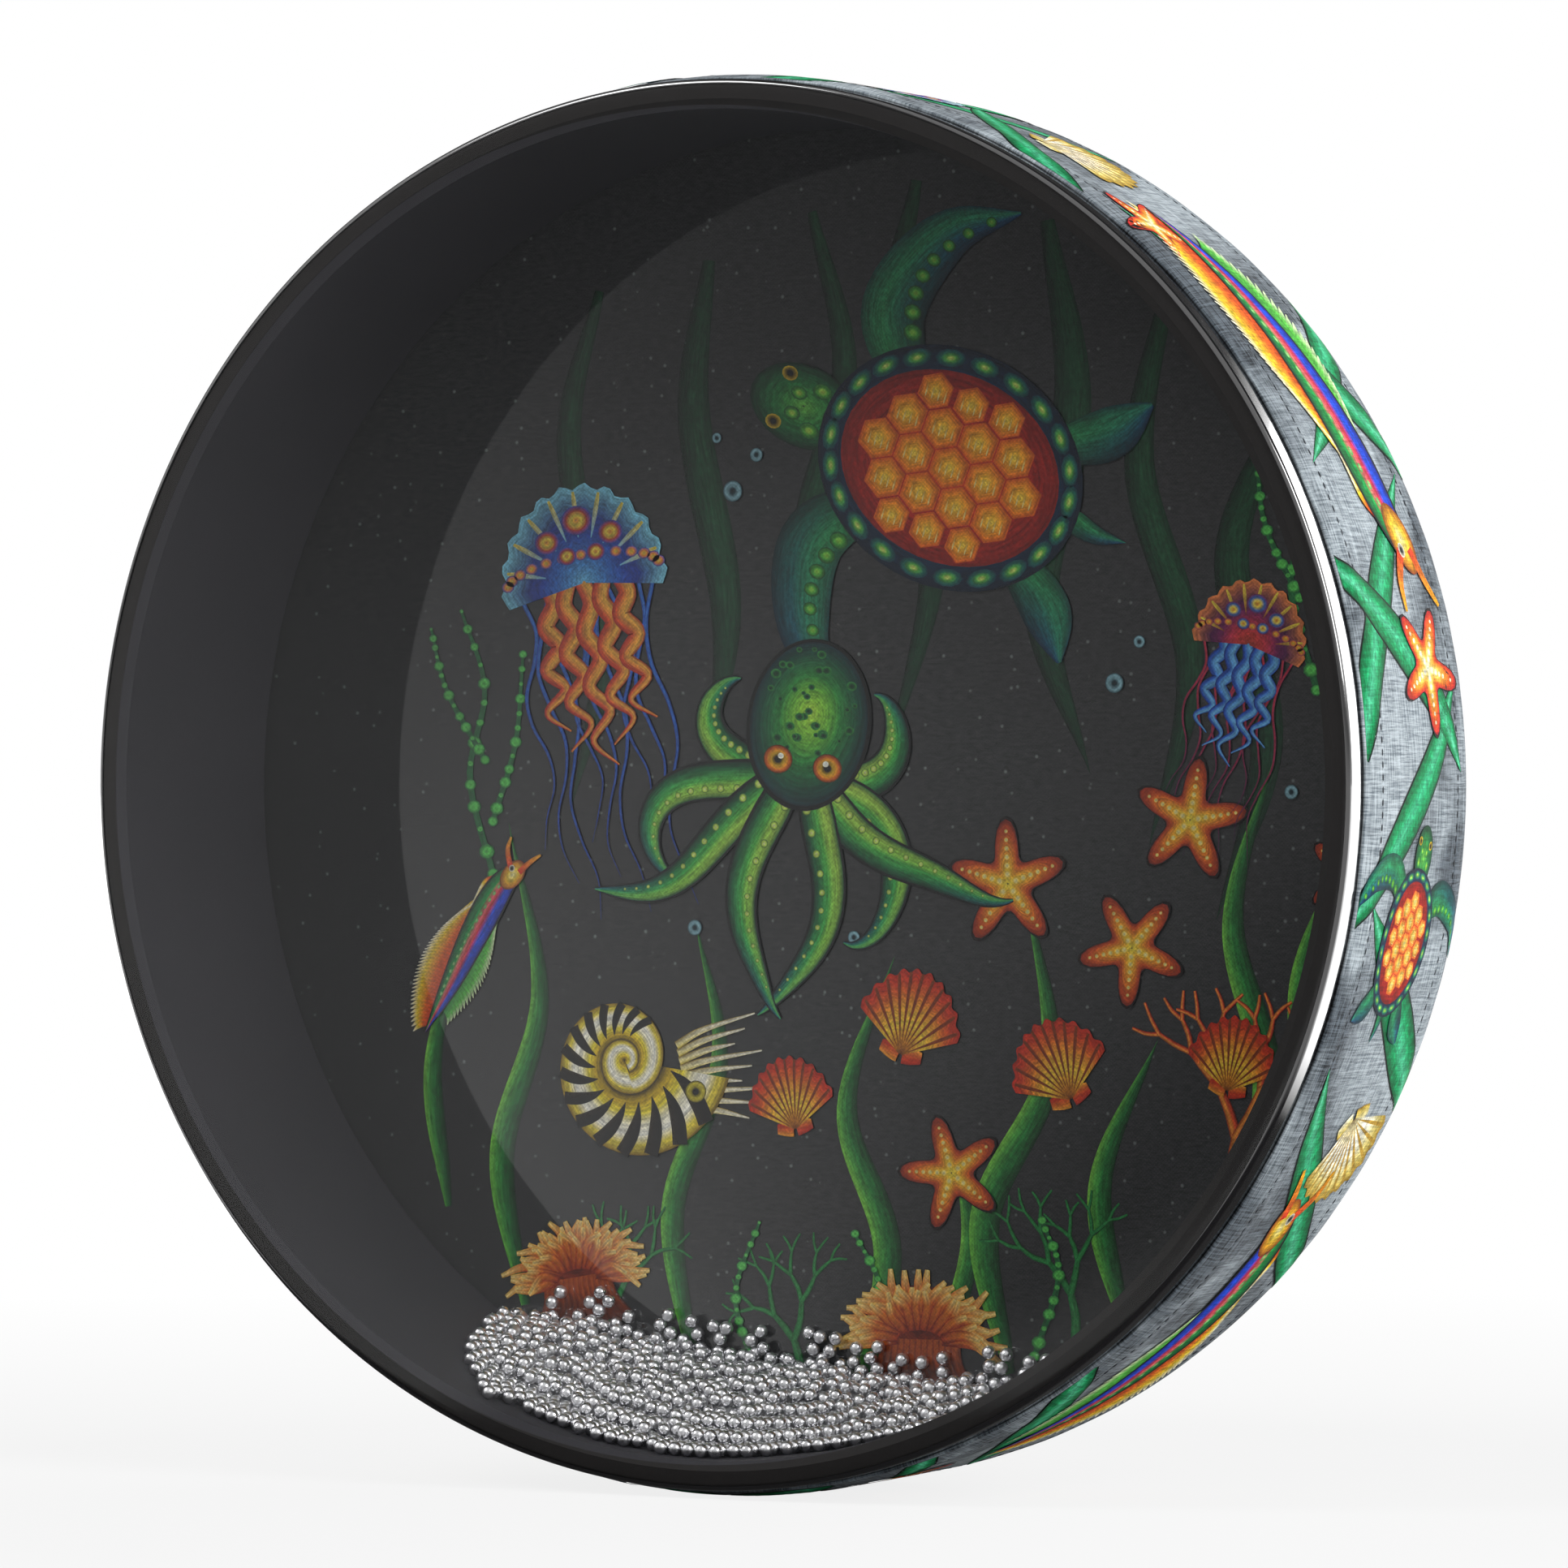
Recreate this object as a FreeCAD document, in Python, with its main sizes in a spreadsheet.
"""Ocean drum: a shallow hoop closed by two film heads, with loose steel balls running inside.

The drum stands on its rim. X runs across it, Y runs from the clear front head to the printed
back head, and Z is up. The origin is on the floor, under the middle of the drum.
"""

import FreeCAD, Part
import itertools
import math
import os
import Sketcher

# Driving sizes, in millimetres and degrees.
SIZES = (
    ("shell_diameter", 304.0, "outside of the bare hoop"),
    ("shell_wall", 6.0, "thickness of the hoop"),
    ("drum_depth", 63.5, "over both heads"),
    ("bevel_width", 2.1, "inner slope of each rim, measured across the wall"),
    ("bevel_depth", 1.3, "inner slope of each rim, measured along the drum"),
    ("shoulder", 1.2, "outer edge of each rim, eased along and across"),
    ("film_thickness", 0.25, "film of both heads"),
    ("skirt_length", 20.0, "how far a film runs down outside the hoop, from its head's face"),
    ("adhesive_thickness", 0.15, "glue line between the hoop and a film"),
    ("print_thickness", 0.3, "printed cloth laminated inside the back film"),
    ("cover_front_margin", 7.5, "bare film collar between the clear head's face and the cloth band"),
    ("cover_back_margin", 2.0, "bare film collar between the cloth band and the back head's face"),
    ("cloth_thickness", 0.9, "one layer of the cloth band"),
    ("hem_width", 8.0, "cloth turned under along each edge of the band"),
    ("hem_taper", 2.5, "where the double hem thins down to one layer"),
    ("seam_overlap", 15.0, "how far one end of the band laps over the other"),
    ("seam_angle", 135.0, "place of the lapped seam, turned from +X towards the floor"),
    ("ball_diameter", 3.175, "steel shot"),
    ("ball_clearance", 0.3, "gap from the balls to what holds them"),
    ("ball_spacing", 6.0, "centre to centre of the separate balls on the heap"),
    ("heap_height", 21.0, "how high the heap of balls stands against the back head"),
    ("heap_foot", 8.0, "bare hoop between the clear head and the foot of the heap"),
)

# Distances from the drum's axis.
SHELL_OUT = "(sizes.shell_diameter / 2)"
SHELL_IN = f"({SHELL_OUT} - sizes.shell_wall)"
SHOULDER = f"({SHELL_OUT} - sizes.shoulder)"
CREST_IN = f"({SHELL_IN} + sizes.bevel_width)"
FILM_IN = f"({SHELL_OUT} + sizes.adhesive_thickness)"
FILM_OUT = f"({FILM_IN} + sizes.film_thickness)"
FILM_BEND = f"({FILM_IN} - sizes.shoulder)"
CLOTH_OUT = f"({FILM_OUT} + sizes.cloth_thickness)"
HEM_OUT = f"({FILM_OUT} + 2 * sizes.cloth_thickness)"
HEAP_OUT = f"({SHELL_IN} - sizes.ball_clearance)"

# Places along the axis, measured back from the outer face of the clear head.
FRONT_CREST = "sizes.film_thickness"
BACK_FILM = "(sizes.drum_depth - sizes.film_thickness)"
BACK_CREST = f"({BACK_FILM} - sizes.print_thickness)"
BEND_END = "(sizes.film_thickness + sizes.shoulder)"
COVER_FRONT = "sizes.cover_front_margin"
COVER_BACK = "(sizes.drum_depth - sizes.cover_back_margin)"
HEAP_FRONT = f"({FRONT_CREST} + sizes.heap_foot)"
HEAP_BACK = f"({BACK_CREST} - sizes.ball_clearance)"

# The heap's top slopes up from its foot to the back head. The packed core lies one ball under it.
HEAP_SLOPE = f"(sizes.heap_height / ({HEAP_BACK} - {HEAP_FRONT}))"
LAYER = f"((sizes.ball_diameter + sizes.ball_clearance) * sqrt(1 + {HEAP_SLOPE}^2))"
CORE_HEIGHT = f"(sizes.heap_height - {LAYER})"
CORE_FRONT = f"({HEAP_FRONT} + {LAYER} / {HEAP_SLOPE})"

doc = FreeCAD.newDocument("ocean_drum")
sheet = doc.addObject("Spreadsheet::Sheet", "sizes")
for row, (alias, size, meaning) in enumerate(SIZES, start=1):
    sheet.set(f"A{row}", meaning)
    sheet.set(f"B{row}", str(size))
    sheet.setAlias(f"B{row}", alias)
doc.recompute()


def value(formula):
    """The number that a formula of sheet sizes gives now."""
    result = sheet.evalExpression(formula)
    return float(getattr(result, "Value", result))


def seat_on_axis(piece, along="0"):
    """Raise a piece to the drum's axis, with its own Y counted from the front face plus along."""
    piece.setExpression(".Placement.Base.y", f"{along} - sizes.drum_depth / 2")
    piece.setExpression(".Placement.Base.z", HEM_OUT)


def new_body(label):
    """An empty body on the drum's axis."""
    body = doc.addObject("PartDesign::Body", label)
    body.Label = label
    seat_on_axis(body)
    return body


def origin_feature(body, role):
    """One of the body's own origin planes or axes."""
    for feature in body.Origin.OriginFeatures:
        if feature.Role == role:
            return feature
    raise LookupError(role)


def new_sketch(body, name, role):
    """A sketch on one of the body's own origin planes."""
    sketch = body.newObject("Sketcher::SketchObject", name)
    sketch.AttachmentSupport = (origin_feature(body, role), "")
    sketch.MapMode = "FlatFace"
    return sketch


def draw_outline(sketch, corners):
    """Draw a closed outline of straight edges and tie every corner to the sheet.

    A corner is (distance from the axis, place along the axis).
    """
    points = [FreeCAD.Vector(value(across), value(along), 0) for across, along in corners]
    for start, end in zip(points, points[1:] + points[:1]):
        sketch.addGeometry(Part.LineSegment(start, end))
    for index, (across, along) in enumerate(corners):
        before = (index - 1) % len(corners)
        sketch.addConstraint(Sketcher.Constraint("Coincident", before, 2, index, 1))
        for kind, axis, formula in (("DistanceX", -2, across), ("DistanceY", -1, along)):
            if formula == "0":
                sketch.addConstraint(Sketcher.Constraint("PointOnObject", index, 1, axis))
                continue
            tie = sketch.addConstraint(Sketcher.Constraint(kind, -1, 1, index, 1, value(formula)))
            sketch.setExpression(f"Constraints[{tie}]", formula)


def turned_body(label, corners):
    """A body turned about the drum's axis from one closed outline."""
    body = new_body(label)
    outline = new_sketch(body, label + "_outline", "XY_Plane")
    draw_outline(outline, corners)
    turn = body.newObject("PartDesign::Revolution", label + "_turn")
    turn.Profile = outline
    turn.ReferenceAxis = (outline, ["V_Axis"])
    turn.Angle = 360
    body.Tip = turn
    return body


def make_shell():
    """The hoop: straight wall, sloped inner edge, flat crest and eased outer shoulder."""
    return turned_body("shell", [
        (SHELL_IN, f"{FRONT_CREST} + sizes.bevel_depth"),
        (CREST_IN, FRONT_CREST),
        (SHOULDER, FRONT_CREST),
        (SHELL_OUT, f"{FRONT_CREST} + sizes.shoulder"),
        (SHELL_OUT, f"{BACK_CREST} - sizes.shoulder"),
        (SHOULDER, BACK_CREST),
        (CREST_IN, BACK_CREST),
        (SHELL_IN, f"{BACK_CREST} - sizes.bevel_depth"),
    ])


def make_head(label, face, depth):
    """One film head: flat over the crest, bent over the shoulder, with a skirt down the outside.

    face is the outer face of the head, and depth gives the place of a distance inside it.
    """
    return turned_body(label, [
        ("0", face),
        (FILM_BEND, face),
        (FILM_OUT, depth(BEND_END)),
        (FILM_OUT, depth("sizes.skirt_length")),
        (FILM_IN, depth("sizes.skirt_length")),
        (FILM_IN, depth(BEND_END)),
        (FILM_BEND, depth("sizes.film_thickness")),
        ("0", depth("sizes.film_thickness")),
    ])


def from_front(distance):
    """The place of a distance behind the outer face of the clear head."""
    return distance


def from_back(distance):
    """The place of a distance in front of the outer face of the back head."""
    return f"sizes.drum_depth - {distance}"


def make_band(label, inner, outer, start, end):
    """A plain thin layer round the axis, between two radii and two places along the axis."""
    return turned_body(label, [(inner, start), (outer, start), (outer, end), (inner, end)])


def cloth_outline(inner, lift):
    """The outline of the cloth band: a thin middle and a double hem, turned under, at each edge.

    inner is its inner face, and lift raises its outer face over another layer.
    """
    single = f"{CLOTH_OUT} + {lift}"
    double = f"{HEM_OUT} + {lift}"
    fold = "sizes.cloth_thickness"
    thin = "(sizes.hem_width + sizes.hem_taper)"
    return [
        (inner, COVER_FRONT),
        (double, f"{COVER_FRONT} + {fold}"),
        (double, f"{COVER_FRONT} + sizes.hem_width"),
        (single, f"{COVER_FRONT} + {thin}"),
        (single, f"{COVER_BACK} - {thin}"),
        (double, f"{COVER_BACK} - sizes.hem_width"),
        (double, f"{COVER_BACK} - {fold}"),
        (inner, COVER_BACK),
    ]


def make_cloth_cover():
    """The cloth band round the hoop, with one of its ends lapped over the other at the seam."""
    body = turned_body("cloth_cover", cloth_outline(FILM_OUT, "0"))
    lap_outline = new_sketch(body, "lap_outline", "XY_Plane")
    lap_outline.AttachmentOffset = FreeCAD.Placement(
        FreeCAD.Vector(), FreeCAD.Rotation(FreeCAD.Vector(0, 1, 0), value("sizes.seam_angle"))
    )
    lap_outline.setExpression(".AttachmentOffset.Rotation.Angle", "sizes.seam_angle * 1 deg")
    draw_outline(lap_outline, cloth_outline(f"{FILM_OUT} + sizes.cloth_thickness / 2",
                                            "sizes.cloth_thickness"))
    lap = body.newObject("PartDesign::Revolution", "seam_lap")
    lap.Profile = lap_outline
    lap.ReferenceAxis = (lap_outline, ["V_Axis"])
    lap.setExpression("Angle", f"sizes.seam_overlap / {CLOTH_OUT} * 180 deg / pi")
    body.Tip = lap
    return body


def make_ball_heap():
    """The packed balls under the top layer, as one solid: a wedge that fits the hoop's round."""
    wedge = new_body("heap_wedge")
    section = new_sketch(wedge, "heap_section", "YZ_Plane")
    foot = FreeCAD.Vector(value(CORE_FRONT), -value(HEAP_OUT), 0)
    heel = FreeCAD.Vector(value(HEAP_BACK), -value(HEAP_OUT), 0)
    crown = heel + FreeCAD.Vector(0, value(CORE_HEIGHT), 0)
    for start, end in ((foot, heel), (heel, crown), (crown, foot)):
        section.addGeometry(Part.LineSegment(start, end))
    for edge in range(3):
        section.addConstraint(Sketcher.Constraint("Coincident", edge, 2, (edge + 1) % 3, 1))
    section.addConstraint(Sketcher.Constraint("Horizontal", 0))
    section.addConstraint(Sketcher.Constraint("Vertical", 1))
    for constraint, formula in (
        (Sketcher.Constraint("DistanceX", -1, 1, 0, 1, foot.x), CORE_FRONT),
        (Sketcher.Constraint("DistanceX", -1, 1, 0, 2, heel.x), HEAP_BACK),
        (Sketcher.Constraint("DistanceY", 0, 1, -1, 1, -foot.y), HEAP_OUT),
        (Sketcher.Constraint("DistanceY", 1, 1, 1, 2, value(CORE_HEIGHT)), CORE_HEIGHT),
    ):
        tie = section.addConstraint(constraint)
        section.setExpression(f"Constraints[{tie}]", formula)
    width = wedge.newObject("PartDesign::Pad", "heap_width")
    width.Profile = section
    width.Midplane = True
    width.setExpression("Length", f"2 * {HEAP_OUT}")
    wedge.Tip = width

    hollow = doc.addObject("Part::Cylinder", "heap_hollow")
    hollow.setExpression("Radius", HEAP_OUT)
    hollow.setExpression("Height", "sizes.drum_depth")
    hollow.Placement.Rotation = FreeCAD.Rotation(FreeCAD.Vector(1, 0, 0), -90)
    seat_on_axis(hollow)

    heap = doc.addObject("Part::Common", "ball_heap")
    heap.Label = "ball_heap"
    heap.Base = wedge
    heap.Tool = hollow
    return heap


def faceted_ball():
    """One ball as a regular solid of twenty faces, so that hundreds of them stay light.

    Its corners lie on three crossed golden rectangles, whose short sides are edges of it.
    """
    golden = (1 + math.sqrt(5)) / 2
    corners = []
    for short in (-1, 1):
        for long in (-golden, golden):
            corners.append(FreeCAD.Vector(0, short, long))
            corners.append(FreeCAD.Vector(short, long, 0))
            corners.append(FreeCAD.Vector(long, 0, short))
    edge = 2
    rounding = 0.001
    faces = []
    for first, second, third in itertools.combinations(corners, 3):
        sides = (first - second, second - third, third - first)
        if max(side.Length for side in sides) < edge + rounding:
            faces.append(Part.Face(Part.makePolygon([first, second, third, first])))
    ball = Part.Solid(Part.Shell(faces))
    ball.scale(value("sizes.ball_diameter") / 2 / corners[0].Length)
    return ball


def place_balls(label, centres):
    """A node of separate balls, with centres counted from the axis and from the front face."""
    pattern = faceted_ball()
    solids = []
    for centre in centres:
        solid = pattern.copy()
        solid.translate(centre)
        solids.append(solid)
    group = doc.addObject("Part::Feature", label)
    group.Label = label
    group.Shape = Part.makeCompound(solids)
    seat_on_axis(group)
    return group


def top_layer():
    """Centres of the balls on the heap's slope, one list for each row, from its foot to its top."""
    radius = value("sizes.ball_diameter / 2")
    spacing = value("sizes.ball_spacing")
    slope = math.atan(value(HEAP_SLOPE))
    reach = value(HEAP_OUT) - radius
    uphill = FreeCAD.Vector(0, math.cos(slope), math.sin(slope))
    upright = FreeCAD.Vector(0, -math.sin(slope), math.cos(slope))
    top = FreeCAD.Vector(0, value(HEAP_BACK), value("sizes.heap_height") - value(HEAP_OUT))
    highest = top - upright * radius - uphill * (radius * (1 + math.sin(slope)) / math.cos(slope))
    rows = []
    centre = highest
    while centre.z > -reach:
        shift = 0.5 if len(rows) % 2 else 0
        half = math.sqrt(reach ** 2 - centre.z ** 2)
        count = int(half / spacing - shift)
        across = [(place + shift) * spacing for place in range(-count - len(rows) % 2, count + 1)]
        rows.append([FreeCAD.Vector(x, centre.y, centre.z) for x in across])
        centre = highest - uphill * (len(rows) * spacing * math.sqrt(3) / 2)
    return rows[::-1]


def check_document():
    """Stop if any object has failed to build."""
    for item in doc.Objects:
        if "Invalid" in item.State or "Error" in item.State:
            raise RuntimeError(f"{item.Label} has not been built: {item.State}")


def write_pieces(pieces):
    """Check each piece and write it to its own file."""
    for piece in pieces:
        if piece.Shape.isNull() or not piece.Shape.isValid() or not piece.Shape.Solids:
            raise RuntimeError(f"{piece.Label} has no valid shape")
    os.makedirs("parts", exist_ok=True)
    for piece in pieces:
        piece.Shape.exportStep(f"parts/{piece.Label}.step")
        box = piece.Shape.optimalBoundingBox()
        print(f"{piece.Label}: {len(piece.Shape.Solids)} solids, {piece.Shape.Volume:.0f} mm3, "
              f"x {box.XMin:.2f} {box.XMax:.2f}, y {box.YMin:.2f} {box.YMax:.2f}, "
              f"z {box.ZMin:.2f} {box.ZMax:.2f}")


ball_rows = top_layer()
drum_pieces = [
    make_shell(),
    make_head("clear_head", "0", from_front),
    make_head("back_head", "sizes.drum_depth", from_back),
    make_band("back_print", "0", SHOULDER, BACK_CREST, BACK_FILM),
    make_band("front_adhesive", SHELL_OUT, FILM_IN, BEND_END, "sizes.skirt_length"),
    make_band("back_adhesive", SHELL_OUT, FILM_IN, "sizes.drum_depth - sizes.skirt_length",
              f"sizes.drum_depth - {BEND_END}"),
    make_band("cover_adhesive", SHELL_OUT, FILM_OUT, "sizes.skirt_length",
              "sizes.drum_depth - sizes.skirt_length"),
    make_cloth_cover(),
    make_ball_heap(),
    place_balls("heap_balls", sum(ball_rows[:-1], [])),
    place_balls("loose_balls", ball_rows[-1]),
]
doc.recompute()
check_document()
write_pieces(drum_pieces)
